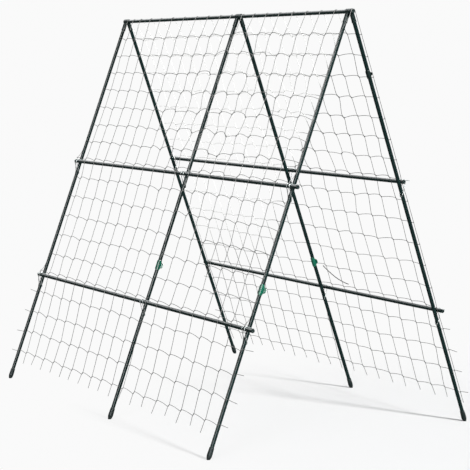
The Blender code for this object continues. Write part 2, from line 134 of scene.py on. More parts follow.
class Value:
    """An output socket that can be added, subtracted, multiplied and divided like a number."""

    __add__, __radd__ = operators("ADD")
    __sub__, __rsub__ = operators("SUBTRACT")
    __mul__, __rmul__ = operators("MULTIPLY")
    __truediv__, __rtruediv__ = operators("DIVIDE")

    def __init__(self, nodes, socket):
        self.nodes = nodes
        self.socket = socket

    def maths(self, operation, *terms):
        return self.nodes.node("ShaderNodeMath", {"operation": operation}, dict(enumerate(terms)))


class Nodes:
    """A node tree under construction: `node` adds a node and returns its chosen output as a Value."""

    def __init__(self, owner):
        owner.use_nodes = True
        self.tree = owner.node_tree

    def plug(self, socket, value):
        """Link a Value into a socket, or set the socket to a constant. Colours are given without alpha."""
        if isinstance(value, Value):
            self.tree.links.new(value.socket, socket)
        elif socket.type == "RGBA":
            socket.default_value = (*value, 1.0)
        else:
            socket.default_value = value

    def node(self, kind, settings=None, sockets=None, output=0):
        made = self.tree.nodes.new(kind)
        for key, value in (settings or {}).items():
            setattr(made, key, value)
        for key, value in (sockets or {}).items():
            self.plug(made.inputs[key], value)
        return Value(self, made.outputs[output])

    def split(self, vector, axis):
        return self.node("ShaderNodeSeparateXYZ", sockets={"Vector": vector}, output=axis)

    def step(self, value, start, end):
        """0 before the start and 1 past the end, with a smooth rise between them."""
        return self.node("ShaderNodeMapRange", {"interpolation_type": "SMOOTHSTEP"},
                         {"Value": value, "From Min": start, "From Max": end})

    def mix_shader(self, share, first, second):
        return self.node("ShaderNodeMixShader", sockets={0: share, 1: first, 2: second})

    def ray(self, kind):
        """1 for rays of a kind and 0 for all others."""
        return self.node("ShaderNodeLightPath", output=f"Is {kind} Ray")


class Finish(Nodes):
    """A material with one Principled shader, and the patterns that the finishes share."""

    def __init__(self, name):
        self.material = bpy.data.materials.new(name)
        super().__init__(self.material)
        self.shader = self.tree.nodes["Principled BSDF"]

    def set(self, **sockets):
        for key, value in sockets.items():
            self.plug(self.shader.inputs[key.replace("_", " ")], value)
        return self.material

    def noise(self, place, scale, detail=3.0, roughness=0.5):
        """Soft noise from 0 to 1 at so many lumps a metre."""
        return self.node("ShaderNodeTexNoise", sockets={
            "Vector": place, "Scale": scale, "Detail": detail, "Roughness": roughness})

    def ramp(self, value, start, end):
        """0 before the start and 1 past the end, with a straight rise between them."""
        made = self.node("ShaderNodeValToRGB", sockets={"Fac": value})
        for element, place in zip(made.socket.node.color_ramp.elements, (start, end)):
            element.position = place
        return made

    def colour_mix(self, share, first, second):
        """The first colour where share is 0 and the second where it is 1."""
        return self.node("ShaderNodeMix", {"data_type": "RGBA"}, {0: share, 6: first, 7: second}, 2)

    def bump(self, height, distance, strength):
        return self.node("ShaderNodeBump",
                         sockets={"Height": height, "Distance": distance, "Strength": strength})

    def attribute(self, name):
        """A value that the mesh keeps for each of its points."""
        return self.node("ShaderNodeAttribute", {"attribute_name": name}, output="Fac")

    def place(self):
        """Object coordinates in metres."""
        return self.node("ShaderNodeTexCoord", output="Object")

    def own_map(self):
        """The piece's own UV map: u once round it, v in metres along it."""
        return self.node("ShaderNodeTexCoord", output="UV")

# %% [markdown]
# ## Finishes
#
# The stakes are steel tube in a tough plastic skin. It is a green so dark that it reads as black, satin
# rather than glossy, and paler where it is scuffed. The crests of the ribs take the scuffs, so each stake
# piece keeps the height of its ribs as an attribute, and the finish reads it.

# %% Stake skin
def stake_skin():
    """Dark green plastic skin with a fine grain, dulled crests and a little dust."""
    finish = Finish("stake skin")
    where = finish.place()
    lumps = finish.noise(where, 9.0, 4.0)
    grain = finish.noise(where, 1400.0, 2.0)
    crest = finish.attribute("rib")
    scuff = crest * finish.ramp(finish.noise(where, 160.0, 4.0), 0.42, 0.70)
    green = finish.colour_mix(lumps, (0.0025, 0.010, 0.0095), (0.006, 0.018, 0.017))
    colour = finish.colour_mix(0.15 * scuff, green, (0.085, 0.115, 0.105))
    height = 0.6 * grain + 0.4 * finish.noise(where, 500.0, 3.0)
    return finish.set(
        Base_Color=colour,
        Roughness=0.12 + 0.05 * lumps + 0.06 * scuff,
        Normal=finish.bump(height, 0.06 * MM, 0.20),
        IOR=1.5,
    )


STAKE_SKIN = stake_skin()

# %% [markdown]
# The caps, boots and end plugs are injection moulded. Moulded plastic shows a slightly orange-peel skin,
# soft sheen and a few rubbed places. The boots collect soil near the tip, so their colour turns with height
# above the floor.

# %% Moulded plastic
SOIL_TOP = 22.0 * MM
SOIL_BOTTOM = 2.0 * MM


def moulding(name, dark, light, roughness, soil):
    """Moulded plastic. `soil` is how much of the lowest centimetres is dulled by earth."""
    finish = Finish(name)
    where = finish.place()
    cloud = finish.noise(where, 35.0, 4.0)
    peel = finish.noise(where, 900.0, 2.0)
    colour = finish.colour_mix(cloud, dark, light)
    dulled = roughness + 0.14 * cloud
    if soil > 0.0:
        height = finish.split(where, "Z")
        low = finish.node("ShaderNodeMapRange", sockets={
            "Value": height, "From Min": SOIL_TOP, "From Max": SOIL_BOTTOM})
        earth = soil * low * finish.ramp(finish.noise(where, 420.0, 5.0), 0.40, 0.62)
        colour = finish.colour_mix(earth, colour, (0.045, 0.040, 0.034))
        dulled = dulled + 0.3 * earth
    return finish.set(Base_Color=colour, Roughness=dulled, Normal=finish.bump(peel, 0.10 * MM, 0.3), IOR=1.49)


CAP_PLASTIC = moulding("cap plastic", (0.003, 0.011, 0.010), (0.007, 0.019, 0.018), 0.30, 0.0)
BOOT_PLASTIC = moulding("boot plastic", (0.003, 0.009, 0.009), (0.008, 0.016, 0.016), 0.36, 0.2)

# %% [markdown]
# The wire clips are zinc plated spring wire, pale grey with a cold tint. Drawing the wire leaves fine
# scratches along it, so the noise is squeezed along the wire on its own map.

# %% Spring wire
def spring_wire():
    """Plated wire with drawing marks along it and duller patches."""
    finish = Finish("spring wire")
    along = finish.node("ShaderNodeMapping", sockets={
        "Vector": finish.own_map(), "Scale": (14.0, 40.0, 1.0)})
    marks = finish.noise(along, 3.0, 4.0, 0.6)
    patches = finish.noise(finish.place(), 60.0, 3.0)
    colour = finish.colour_mix(patches, (0.50, 0.56, 0.55), (0.72, 0.76, 0.75))
    return finish.set(
        Base_Color=colour,
        Metallic=0.85 - 0.25 * patches,
        Roughness=0.22 + 0.22 * marks,
        Normal=finish.bump(marks, 0.05 * MM, 0.3),
    )


SPRING_WIRE = spring_wire()

# %% [markdown]
# The net's snap clips are a bright glossy green, the only colour on the object. A thin clear sheen over the
# colour gives the pale stripe that the photograph shows along their backs.

# %% Green snap clip
def clip_green():
    """Glossy green plastic, a little deeper in patches."""
    finish = Finish("clip green")
    where = finish.place()
    cloud = finish.noise(where, 70.0, 3.0)
    colour = finish.colour_mix(cloud, (0.002, 0.064, 0.037), (0.005, 0.118, 0.070))
    return finish.set(
        Base_Color=colour,
        Roughness=0.16 + 0.10 * cloud,
        Normal=finish.bump(finish.noise(where, 700.0, 2.0), 0.08 * MM, 0.25),
        IOR=1.5,
        Coat_Weight=0.8,
        Coat_Roughness=0.12,
    )


CLIP_GREEN = clip_green()

# %% [markdown]
# The net is a thin laid cord. Up close the lay shows as slanting strands, which come from the cord's own
# map: a wave runs round it as it runs along. Outdoor cord bleaches unevenly, and in the photograph whole
# stretches are pale while others are nearly black, so each cord carries a `tone` attribute. The same tone
# also holds painted light: part of the back half is painted almost white, as if washed out by light.

# %% Net cord
STRANDS = 3.0
LAY_LENGTH = 5.0 * MM


def net_cord():
    """Laid cord: slanting strands in colour and bump, and a tone from dark to pale: bleaching, plus painted
    washout.
    """
    finish = Finish("net cord")
    u, v = (finish.split(finish.own_map(), axis) for axis in "XY")
    turn = TAU * (STRANDS * u + v / LAY_LENGTH)
    strand = 0.5 + 0.5 * turn.maths("SINE", turn)
    tone = finish.attribute("tone")
    fibre = finish.noise(finish.place(), 2500.0, 2.0)
    dark = finish.colour_mix(strand, (0.020, 0.022, 0.020), (0.055, 0.058, 0.054))
    colour = finish.colour_mix(tone, dark, (0.82, 0.82, 0.80))
    return finish.set(
        Base_Color=colour,
        Roughness=0.62 + 0.2 * fibre,
        Normal=finish.bump(0.8 * strand + 0.2 * fibre, 0.15 * MM, 0.6),
    )


NET_CORD = net_cord()
print("finishes:", [material.name for material in bpy.data.materials if material.use_nodes])

# %% [markdown]
# ## Where things are
#
# The imported boxes give the sizes that the new pieces need. A leg leans by the same angle in both frames,
# so one angle serves both; it comes from the ridge's height and the spread of the feet. Each frame then has
# three directions: across it, outward from its face and down the legs.

# %% Directions of the two frames
RIDGE = np.array(frame["joints"][0]["pos_m"])
STAKE_RADIUS = 8.0 * MM
BAR_STANDOFF = 16.3 * MM
FOOT_SPREAD = 0.624
LEAN = math.atan2(FOOT_SPREAD, RIDGE[2])
LEG_RUN = math.hypot(FOOT_SPREAD, RIDGE[2])
SIDES = {"front": -1.0, "back": 1.0}
PLACES = ("left", "middle", "right")
LEVELS = ("upper", "lower")
BODY = {"front": "front_frame", "back": "back_frame"}


def outward(side):
    """The direction out of a frame's face."""
    return np.array((0.0, side * math.cos(LEAN), math.sin(LEAN)))


def down(side):
    """The direction down a frame's legs."""
    return np.array((0.0, side * math.sin(LEAN), -math.cos(LEAN)))


def in_frame(side, across, out, run):
    """Points from distances across the ridge, out of a frame's face and down its legs, as arrays."""
    across, out, run = np.broadcast_arrays(across, out, run)
    base = np.stack((across, np.zeros_like(across), np.full_like(across, RIDGE[2])), axis=-1)
    return base + out[..., None] * outward(side) + run[..., None] * down(side)


def box(node):
    """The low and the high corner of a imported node, as arrays."""
    return np.array(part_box(node), float)


def middle_x(node):
    """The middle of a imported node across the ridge."""
    return box(node)[:, 0].sum() / 2.0


def quarter(count):
    """So many angles over a quarter turn."""
    return np.linspace(0.0, math.pi / 2.0, count)


print("lean in degrees:", round(math.degrees(LEAN), 2), "leg box:", np.round(box("front_left_leg"), 3).tolist())

# %% [markdown]
# ## Turning grids into pieces
#
# Every new piece is a grid of points: rows along it, columns round it. One helper makes the faces, closes
# the grid round its columns, caps its ends and writes the piece's own map. Others carry a ring along a path
# or turn a profile about an axis, and the last hands a finished piece to the frame.

# %% Grid helpers
WELD = 0.001 * MM
X_AXIS, Y_AXIS, Z_AXIS = np.eye(3)


def grid_faces(rows, columns):
    """Quads of a grid whose columns close on themselves, as an array of four corners each."""
    r, c = np.meshgrid(np.arange(rows - 1), np.arange(columns), indexing="ij")
    after = (c + 1) % columns
    here, above = r * columns, (r + 1) * columns
    return np.stack((here + c, here + after, above + after, above + c), -1).reshape(-1, 4)


def grid_map(rows, columns, along):
    """The map of those quads: u goes once round, v is the distance along, corner by corner."""
    r, c = np.meshgrid(np.arange(rows - 1), np.arange(columns), indexing="ij")
    u = np.stack((c, c + 1, c + 1, c), -1) / columns
    v = np.stack((along[r], along[r], along[r + 1], along[r + 1]), -1)
    return np.stack((u, v), -1).reshape(-1, 2)


class Surface:
    """Collects grids and makes one mesh piece of them."""

    def __init__(self):
        self.points, self.quads, self.maps, self.values = [], [], [], []
        self.count = 0

    def add(self, grid, along, value=0.0):
        """Add a closed grid, rows x columns x 3, with its distances along and a value for each point."""
        rows, columns = grid.shape[:2]
        self.points.append(grid.reshape(-1, 3))
        self.quads.append(grid_faces(rows, columns) + self.count)
        self.maps.append(grid_map(rows, columns, along))
        self.values.append(np.broadcast_to(value, (rows, columns)).ravel())
        self.count += rows * columns

    def add_capped(self, grid, along, value=0.0):
        """Add an open grid and close both its ends with a row that shrinks to the middle of the end ring."""
        head, tail = (np.broadcast_to(ring.mean(axis=0), ring.shape)[None] for ring in (grid[0], grid[-1]))
        value = np.pad(np.broadcast_to(value, grid.shape[:2]), ((1, 1), (0, 0)), mode="edge")
        self.add(np.concatenate((head, grid, tail)), np.pad(along, 1, mode="edge"), value)

    def piece(self, name, material, sharp_degrees, value_name=None, turn_out=False):
        """One smooth mesh object. It can keep the values as an attribute and have its faces turned out."""
        points = np.concatenate(self.points)
        quads = np.concatenate(self.quads)
        mesh = bpy.data.meshes.new(name)
        mesh.vertices.add(len(points))
        mesh.vertices.foreach_set("co", points.astype(np.float32).ravel())
        mesh.loops.add(quads.size)
        mesh.loops.foreach_set("vertex_index", quads.astype(np.int32).ravel())
        mesh.polygons.add(len(quads))
        mesh.polygons.foreach_set("loop_start", np.arange(0, quads.size, 4, dtype=np.int32))
        mesh.update(calc_edges=True)
        layer = mesh.uv_layers.new(name="own")
        layer.data.foreach_set("uv", np.concatenate(self.maps).astype(np.float32).ravel())
        if value_name:
            kept = mesh.attributes.new(value_name, "FLOAT", "POINT")
            kept.data.foreach_set("value", np.concatenate(self.values).astype(np.float32))
        shape = bmesh.new()
        shape.from_mesh(mesh)
        bmesh.ops.remove_doubles(shape, verts=shape.verts, dist=WELD)
        if turn_out:
            bmesh.ops.recalc_face_normals(shape, faces=shape.faces)
        shape.to_mesh(mesh)
        shape.free()
        mesh.shade_smooth()
        mesh.set_sharp_from_angle(angle=math.radians(sharp_degrees))
        mesh.materials.append(material)
        return new_object(name, mesh)


def lengths(path):
    """Distance along a path at each of its points."""
    steps = np.linalg.norm(np.diff(path, axis=0), axis=1)
    return np.concatenate(([0.0], np.cumsum(steps)))


def tube(path, radius, sides, reference):
    """A ring carried along a path: centre + radius (cos a side + sin a up), a from 0 to one turn.

    `side` and `up` are square to the path, with `up` as near the reference direction as it can be.
    """
    forward = np.gradient(path, axis=0)
    forward /= np.linalg.norm(forward, axis=1, keepdims=True)
    side = np.cross(np.broadcast_to(reference, path.shape), forward)
    side /= np.maximum(np.linalg.norm(side, axis=1, keepdims=True), 1e-9)
    up = np.cross(forward, side)
    angle = np.arange(sides) * TAU / sides
    ring = np.cos(angle)[None, :, None] * side[:, None, :] + np.sin(angle)[None, :, None] * up[:, None, :]
    return path[:, None, :] + np.broadcast_to(radius, len(path))[:, None, None] * ring


def ring_about(axis, helper, sides):
    """Unit vectors round an axis: cos a first + sin a second, both square to it."""
    first = np.cross(axis, helper)
    first /= np.linalg.norm(first)
    second = np.cross(axis, first)
    angle = np.arange(sides) * TAU / sides
    return np.cos(angle)[:, None] * first + np.sin(angle)[:, None] * second


def lathe(profile, sides, centre, axis):
    """A profile of (radius, height) turned about an axis through a centre: the rows follow the profile."""
    axis = np.array(axis, float) / np.linalg.norm(axis)
    ring = ring_about(axis, X_AXIS if abs(axis[0]) < 0.7 else Y_AXIS, sides)
    radius, height = np.array(profile, float).T
    return np.array(centre) + radius[:, None, None] * ring[None] + height[:, None, None] * axis


def add_lathe(surface, profile, centre, axis, sides, closed=False):
    """A turned form in a surface. A closed profile is a ring; an open one starts and ends on its axis."""
    points = np.array(profile + profile[:1] if closed else profile, float)
    surface.add(lathe(points, sides, centre, axis), lengths(points))


def install(piece, node, body):
    """Let a piece stand in for a CAD node and let it ride on a body."""
    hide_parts(node)
    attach(piece, body)

# %% [markdown]
# ## Ribbed stakes
#
# A plain garden stake is a tube with small slanting ribs pressed into its skin, which stop ties from
# sliding. The rib is in the surface itself, so the outline is scalloped and the light along the stake breaks
# into short slanting strokes. The crest of a rib is as high as the CAD tube's wall, and the skin between
# ribs is a little lower, so a stake never outgrows its solid.
#
# The height is a product of two bells on a slanting lattice: one bell repeats every pitch along the stake,
# the other three times round it, and each row of ribs is turned half a step from the last.

# %% Stake surface
STAKE_SIDES = 24
STAKE_STEP = 1.6 * MM
RIB_PITCH = 14.0 * MM
RIB_HEIGHT = 0.32 * MM
RIB_SLANT = 0.55
RIBS_ROUND = 3
RIB_FADE = 3.0 * MM
RIB_LONG = 0.30
RIB_WIDE = 0.27


def rib_height(along, angle):
    """Share of a full rib at a distance along and an angle round: exp(-(a/b)^2) of a slanting lattice."""
    row = along / RIB_PITCH
    nearest = np.round(row)
    up = row - nearest
    round_it = RIBS_ROUND * angle / TAU + RIB_SLANT * up + 0.5 * np.mod(nearest, 2.0)
    beside = round_it - np.round(round_it)
    return np.exp(-((up / RIB_LONG) ** 2) - (beside / RIB_WIDE) ** 2)


def ribbed_stake(name, start, end, replaced, body):
    """A ribbed stake between two points, closed by a flat wall at either end."""
    axis = end - start
    length = float(np.linalg.norm(axis))
    axis = axis / length
    along = np.linspace(0.0, length, max(2, int(length / STAKE_STEP)))
    angle = np.arange(STAKE_SIDES) * TAU / STAKE_SIDES
    rib = rib_height(along[:, None], angle[None, :])
    fade = np.clip(np.minimum(along, length - along) / RIB_FADE, 0.0, 1.0)[:, None]
    radius = STAKE_RADIUS - RIB_HEIGHT * (1.0 - rib * fade)
    ring = ring_about(axis, Z_AXIS if abs(axis[2]) < 0.7 else X_AXIS, STAKE_SIDES)
    surface = Surface()
    surface.add_capped(start + along[:, None, None] * axis + radius[..., None] * ring[None], along, rib)
    install(surface.piece(name, STAKE_SKIN, 50.0, "rib"), replaced, body)

# %% [markdown]
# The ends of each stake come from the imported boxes. A bar runs along X, so its box gives both ends. A leg
# leans, so its box gives where it starts and stops once half a stake's tilt is taken off.

# %% Build the stakes
def leg_ends(node, side):
    """The middle of a leg's top and bottom faces."""
    low, high = box(node)
    tilt = STAKE_RADIUS * math.sin(LEAN)
    runs = ((RIDGE[2] - z) / math.cos(LEAN) for z in (high[2] - tilt, low[2] + tilt))
    return [in_frame(side, middle_x(node), 0.0, run) for run in runs]


def bar_ends(node):
    """The middle of a bar's left and right faces."""
    low, high = box(node)
    middle = (low + high) / 2.0
    return np.append(low[:1], middle[1:]), np.append(high[:1], middle[1:])


for side_name, side in SIDES.items():
    for place in PLACES:
        node = f"{side_name}_{place}_leg"
        top, bottom = leg_ends(node, side)
        ribbed_stake(f"{node}_ribbed", top, bottom, node, BODY[side_name])
    for level in LEVELS:
        node = f"{side_name}_{level}_bar"
        ribbed_stake(f"{node}_ribbed", *bar_ends(node), node, BODY[side_name])
ribbed_stake("ridge_bar_ribbed", *bar_ends("ridge_bar"), "ridge_bar", "back_frame")
print("the ends of a leg:", np.round(leg_ends("front_left_leg", SIDES["front"]), 4).tolist())

# %% [markdown]
# ## The net
#
# One rectangle of knotted cord lies over the ridge: twenty long cords and eighteen cross cords on each
# side. A long cord starts below the front hem, runs up the front frame, turns over the ridge bar and runs
# down the back. The bars hold it away from the legs, the end legs hold its edges, and in between it sinks
# in a little. The back half lies about 3 cm to the right of the front half.
#
# The net is a table of knots, worked out as whole arrays: one row of numbers for each cross cord and one
# column for each long cord. Every cord is then a smooth line through its own knots, so they always meet.

# %% Net layout
CORD_RADIUS = 1.08 * MM
COLUMNS = 20
NET_WIDTH = 1.765
FRONT_EDGE = -0.88815
NET_SKEW = 28.0 * MM
ROW_RUNS = MM * np.array((95, 181, 268, 355, 441, 528, 615, 700, 792,
                          886, 983, 1077, 1173, 1264, 1361, 1458, 1551, 1650.0))
HEM_TAIL = 48.0 * MM
SIDE_END = 0.9585
UPPER_RUN = 0.71393
LOWER_RUN = 1.28056
ON_STAKE = STAKE_RADIUS + CORD_RADIUS + 0.15 * MM
OVER_BAR = BAR_STANDOFF + ON_STAKE
UNDER_BAR = BAR_STANDOFF - ON_STAKE - 0.3 * MM
BAR_RISE = 32.0 * MM
EDGE_BAND = 75.0 * MM
SAG = MM * np.array((5.0, 8.0, 10.0, 3.0))
FRAME_X = (-0.8825, 0.1035, 0.8825)
CAP_KEEP_OUT = 22.45 * MM
PAST_THE_HEM = 2.0


def wander(*terms):
    """A smooth wobble between about -1 and 1: the mean of a few sines with unlike periods."""
    total = 0.0
    for i, term in enumerate(terms):
        total = total + np.sin(term * (1.0 + 0.37 * i) + 1.3 * i)
    return total / len(terms)


def bell(distance, width):
    """exp(-(d/w)^2): 1 at the middle and nearly 0 past two widths."""
    return np.exp(-((distance / width) ** 2))


def edge_across(side):
    """Where the left and right edge cords lie."""
    left = FRONT_EDGE + NET_SKEW * (1.0 + side) / 2.0
    return left, left + NET_WIDTH


def net_out(side, across, run):
    """How far out of a frame's face the net lies.

    The bars hold it out and between the stakes it sinks in by a product of two sines. Its edges run down
    the end legs: in front they rise over each bar, and behind they slip in between the legs and the bars.
    """
    stops = (0.0, UPPER_RUN, LOWER_RUN, ROW_RUNS[-1], PAST_THE_HEM)
    held = np.interp(run, stops, (ON_STAKE, OVER_BAR, OVER_BAR, ON_STAKE, ON_STAKE))
    at_bar = np.maximum(bell(run - UPPER_RUN, BAR_RISE), bell(run - LOWER_RUN, BAR_RISE))
    passes = OVER_BAR if side < 0.0 else UNDER_BAR
    laced = ON_STAKE + (passes - ON_STAKE) * np.minimum(1.0, 1.2 * at_bar)
    left, right = edge_across(side)
    edge = np.maximum(bell(across - left, EDGE_BAND), bell(across - right, EDGE_BAND))
    edge = np.where((across < left) | (across > right), 1.0, edge)
    bay = np.abs(np.sin(math.pi * np.interp(across, FRAME_X, (0.0, 1.0, 2.0))))
    fields = (0.0, UPPER_RUN, LOWER_RUN, LEG_RUN)
    field = np.abs(np.sin(math.pi * np.interp(run, fields, (0.0, 1.0, 2.0, 3.0))))
    deep = np.interp(run, fields, SAG)
    return held * (1.0 - edge) + laced * edge - deep * bay * field * (1.0 - edge)

# %% [markdown]
# Real netting is never a perfect grid. Three things move a knot from its even place: slow waves over the
# whole net, a small random slip, and the way the net bunches where it was pulled over the ridge. Near the
# middle of the ridge the net is slack, so everything moves more there.

# %% Knots of the net
slips = np.random.default_rng(11)
COLUMN = np.arange(COLUMNS)[None, :]
ROW = np.arange(len(ROW_RUNS))[:, None]
INNER = np.where((COLUMN > 0) & (COLUMN < COLUMNS - 1), 1.0, 0.0)
SLACK_ACROSS = 0.22
SLACK_RUN = 0.42
SLACK_REACH = 0.42
WAVE_ACROSS, SLIP_ACROSS = 3.0, 2.2
WAVE_RUN, SLIP_RUN = 2.2, 1.3
PULL_REACH = 0.22
LIFT = 12.0 * MM
LIFT_ACROSS = 0.15
LIFT_WIDTH = 0.40
LIFT_REACH = 0.35
HELD_BAND = 30.0 * MM
HELD_SHARE = 0.25
RIDGE_PULL = ((0.0, 2.0, 4.0, 7.0, 9.0, 12.0, 15.0, 19.0), (0.0, -50.0, -48.0, -11.0, 0.0, -14.0, -9.0, 0.0))


def slackness(across, run):
    """How loose the net is, from 1 where it is stretched to 3 in the middle of the upper field."""
    return 1.0 + 2.0 * bell(across - SLACK_ACROSS, SLACK_REACH) * bell(run - SLACK_RUN, SLACK_REACH)


def knot_table(side):
    """Across and run of every knot of one half, each as an array of rows by columns."""
    run = np.repeat(ROW_RUNS[:, None], COLUMNS, axis=1)
    across = edge_across(side)[0] + NET_WIDTH * COLUMN / (COLUMNS - 1) + 0.0 * ROW
    loose = slackness(across, run) * MM
    waves = wander(1.1 * COLUMN + 0.55 * ROW + side, 0.6 * COLUMN - 0.9 * ROW + 2.0 * side)
    pull = MM * np.interp(COLUMN, *RIDGE_PULL) * np.exp(-run / PULL_REACH)
    slip = SLIP_ACROSS * slips.standard_normal(run.shape)
    across = across + pull + INNER * loose * (WAVE_ACROSS * waves + slip)
    lift = LIFT * bell(across - LIFT_ACROSS, LIFT_WIDTH) * np.exp(-run / LIFT_REACH)
    sway = wander(0.9 * COLUMN + 1.7 * ROW + side, 1.9 * COLUMN - 0.8 * ROW + side)
    at_bar = bell(run - UPPER_RUN, HELD_BAND) + bell(run - LOWER_RUN, HELD_BAND)
    free = np.clip(1.0 - at_bar, HELD_SHARE, 1.0)
    slip = SLIP_RUN * slips.standard_normal(run.shape)
    run = run - lift + free * loose * (WAVE_RUN * sway + slip)
    return across, run


def over_ridge(column):
    """Where a long cord crosses the ridge bar: midway between its two halves, clear of the eyelet caps."""
    middle = FRONT_EDGE + NET_SKEW / 2.0 + NET_WIDTH * column / (COLUMNS - 1)
    middle = middle + MM * np.interp(column, *RIDGE_PULL)
    for frame_x in FRAME_X:
        if abs(middle - frame_x) < CAP_KEEP_OUT:
            middle = frame_x + math.copysign(CAP_KEEP_OUT, middle - frame_x)
    return middle


KNOTS = {side_name: knot_table(side) for side_name, side in SIDES.items()}
print("knots in each half:", KNOTS["front"][0].size)

# %% [markdown]
# In this netting two cords do not simply cross: they run together for about a centimetre before they part.
# So each knot is a short slanted join. The long cord comes down to its upper end and leaves from its lower
# end, and the cross cord arrives at the lower end and leaves from the upper end. That is what makes the
# little steps along every row, and the rounded cells where the net is slack.

# %% Trace the cords
CORD_STEP = 20.0 * MM
CORNER = 6.0 * MM
CROSS_CORNER = 4.5 * MM
OFF_THE_BAR = 22.0 * MM
WRAP_STEPS = 7
JOIN_HEIGHT = {"front": 4.2, "back": 3.0}
JOIN_WIDTH = 2.6
JOIN_LEAST = 0.9 * MM
SLACK_HEIGHT = 1.5
SLACK_WIDTH = 4.4
TURNED_FROM = 1.9
HANG = 2.7 * MM
FRINGE_SWAY = 7.0 * MM
TAIL_TRIM = 6.0 * MM
TAIL_DROOP = 5.0 * MM


def joins(side_name):
    """Half of each join as across and run: a slanted step that is longer where the net is slack.

    The heights and widths count in millimetres. Every third join slants the other way where it is slack.
    """
    side = SIDES[side_name]
    across, run = KNOTS[side_name]
    loose = slackness(across, run)
    size = (1.0 + 0.45 * wander(2.3 * COLUMN + 0.7 * ROW, 1.1 * COLUMN - 2.9 * ROW)) * MM
    slant = -side * np.where((loose > TURNED_FROM) & ((ROW + COLUMN) % 3 == 0), -1.0, 1.0)
    half_x = INNER * slant * size * (JOIN_WIDTH + SLACK_WIDTH * (loose - 1.0))
    return half_x, size * (JOIN_HEIGHT[side_name] + SLACK_HEIGHT * (loose - 1.0))


def with_corners(steps, stops):
    """Sample places for a cord: the even steps, the stops, and two more beside each stop."""
    beside = np.concatenate((stops - CORNER, stops, stops + CORNER))
    beside = beside[(beside >= stops[0]) & (beside <= stops[-1])]
    at = np.unique(np.round(np.concatenate((steps, beside)), 4))
    return at[np.concatenate(([True], np.diff(at) > 1.0 * MM))]


def rounded_line(stops, values, at, window):
    """A line through the stops with rounded corners: the mean of the straight line over a short window."""
    shifts = np.linspace(-1.0, 1.0, 9)[:, None] * window
    return np.mean(np.interp(at + shifts, stops, values), axis=0)


def long_half(side_name, column):
    """One half of a long cord from the ridge down, as across and run."""
    across, run = (table[:, column] for table in KNOTS[side_name])
    half_x, half_run = (table[:, column] for table in joins(side_name))
    stops = np.stack((run - half_run, run + half_run), -1).ravel()
    places = np.stack((across + half_x, across - half_x), -1).ravel()
    hem = ROW_RUNS[-1] + HEM_TAIL * (1.0 + 0.12 * wander(3.3 * column + SIDES[side_name]))
    end = places[-1] + FRINGE_SWAY * wander(2.7 * column + SIDES[side_name], 1.1 * column)
    stops = np.concatenate(([0.0, OFF_THE_BAR], stops, [hem]))
    places = np.concatenate(([over_ridge(column)] * 2, places, [end]))
    at = with_corners(np.append(np.arange(0.0, hem, CORD_STEP), (UPPER_RUN, LOWER_RUN)), stops)
    window = CORNER * slackness(np.interp(at, stops, places), at)
    return rounded_line(stops, places, at, window), at


def long_cord(column):
    """The whole long cord as points: front hem, over the ridge bar, back hem."""
    halves = {}
    for side_name, side in SIDES.items():
        across, run = long_half(side_name, column)
        halves[side_name] = in_frame(side, across, net_out(side, across, run), run)
    start, end = (math.atan2(out[2], out[1]) for out in (outward(-1.0), outward(1.0)))
    angle = np.linspace(start, end, WRAP_STEPS + 2)[1:-1]
    across = np.full(WRAP_STEPS, over_ridge(column))
    wrap = np.stack((across, RIDGE[1] + ON_STAKE * np.cos(angle), RIDGE[2] + ON_STAKE * np.sin(angle)), -1)
    return np.concatenate((halves["front"][::-1], wrap, halves["back"]))


def cross_cord(side_name, row):
    """One cross cord of a frame: it steps up at each join and hangs a little between joins."""
    side = SIDES[side_name]
    across, run = (table[row] for table in KNOTS[side_name])
    half_x, half_run = (table[row] for table in joins(side_name))
    width = np.maximum(np.abs(half_x), JOIN_LEAST)
    rising = np.where(half_x < 0.0, -1.0, 1.0)
    stops = np.stack((across - width, across + width), -1).ravel()
    runs = np.stack((run + rising * half_run, run - rising * half_run), -1).ravel()
    if ROW_RUNS[row] > LOWER_RUN:
        reach = SIDE_END - TAIL_TRIM * (1.0 + wander(3.1 * row + side))
        droop = TAIL_DROOP * wander(1.7 * row + side)
        stops = np.concatenate(([-reach], stops, [reach]))
        runs = np.concatenate(([runs[0] + droop], runs, [runs[-1] + droop]))
    at = with_corners(np.arange(stops[0], stops[-1], CORD_STEP), stops)
    line = rounded_line(stops, runs, at, CROSS_CORNER * slackness(at, ROW_RUNS[row]))
    between = np.interp(at, across, np.arange(COLUMNS), left=0.0, right=0.0) % 1.0
    line = line - HANG * np.sqrt(slackness(at, line)) * np.sin(math.pi * between)
    return in_frame(side, at, net_out(side, at, line), line)

# %% [markdown]
# Every cord becomes a five-sided tube, and every join a slim bead of a few dozen faces, because there are
# more than seven hundred of them. All of it is one piece.
#
# The tone says how bleached the cord is. The back half is also painted almost white in its upper left,
# where the camera sees it behind the front half and the photograph hardly shows it: a painted washout of
# light that lets it fade into the bright backdrop.

# %% Build the net
CORD_SIDES = 5
JOIN_RADIUS = 1.75 * CORD_RADIUS
STRAND_RADIUS = 1.7 * CORD_RADIUS
LOOSE_STRAND = ((0.126, 0.178, 0.242, 0.302), (1.172, 1.213, 1.243, 1.251))
SEEN_EDGE = 0.88
SEEN_SLOPE = 1.14
tones = np.random.default_rng(7)


def rise(value, start, over):
    """0 up to the start, then a straight rise to 1."""
    return np.clip((value - start) / over, 0.0, 1.0)


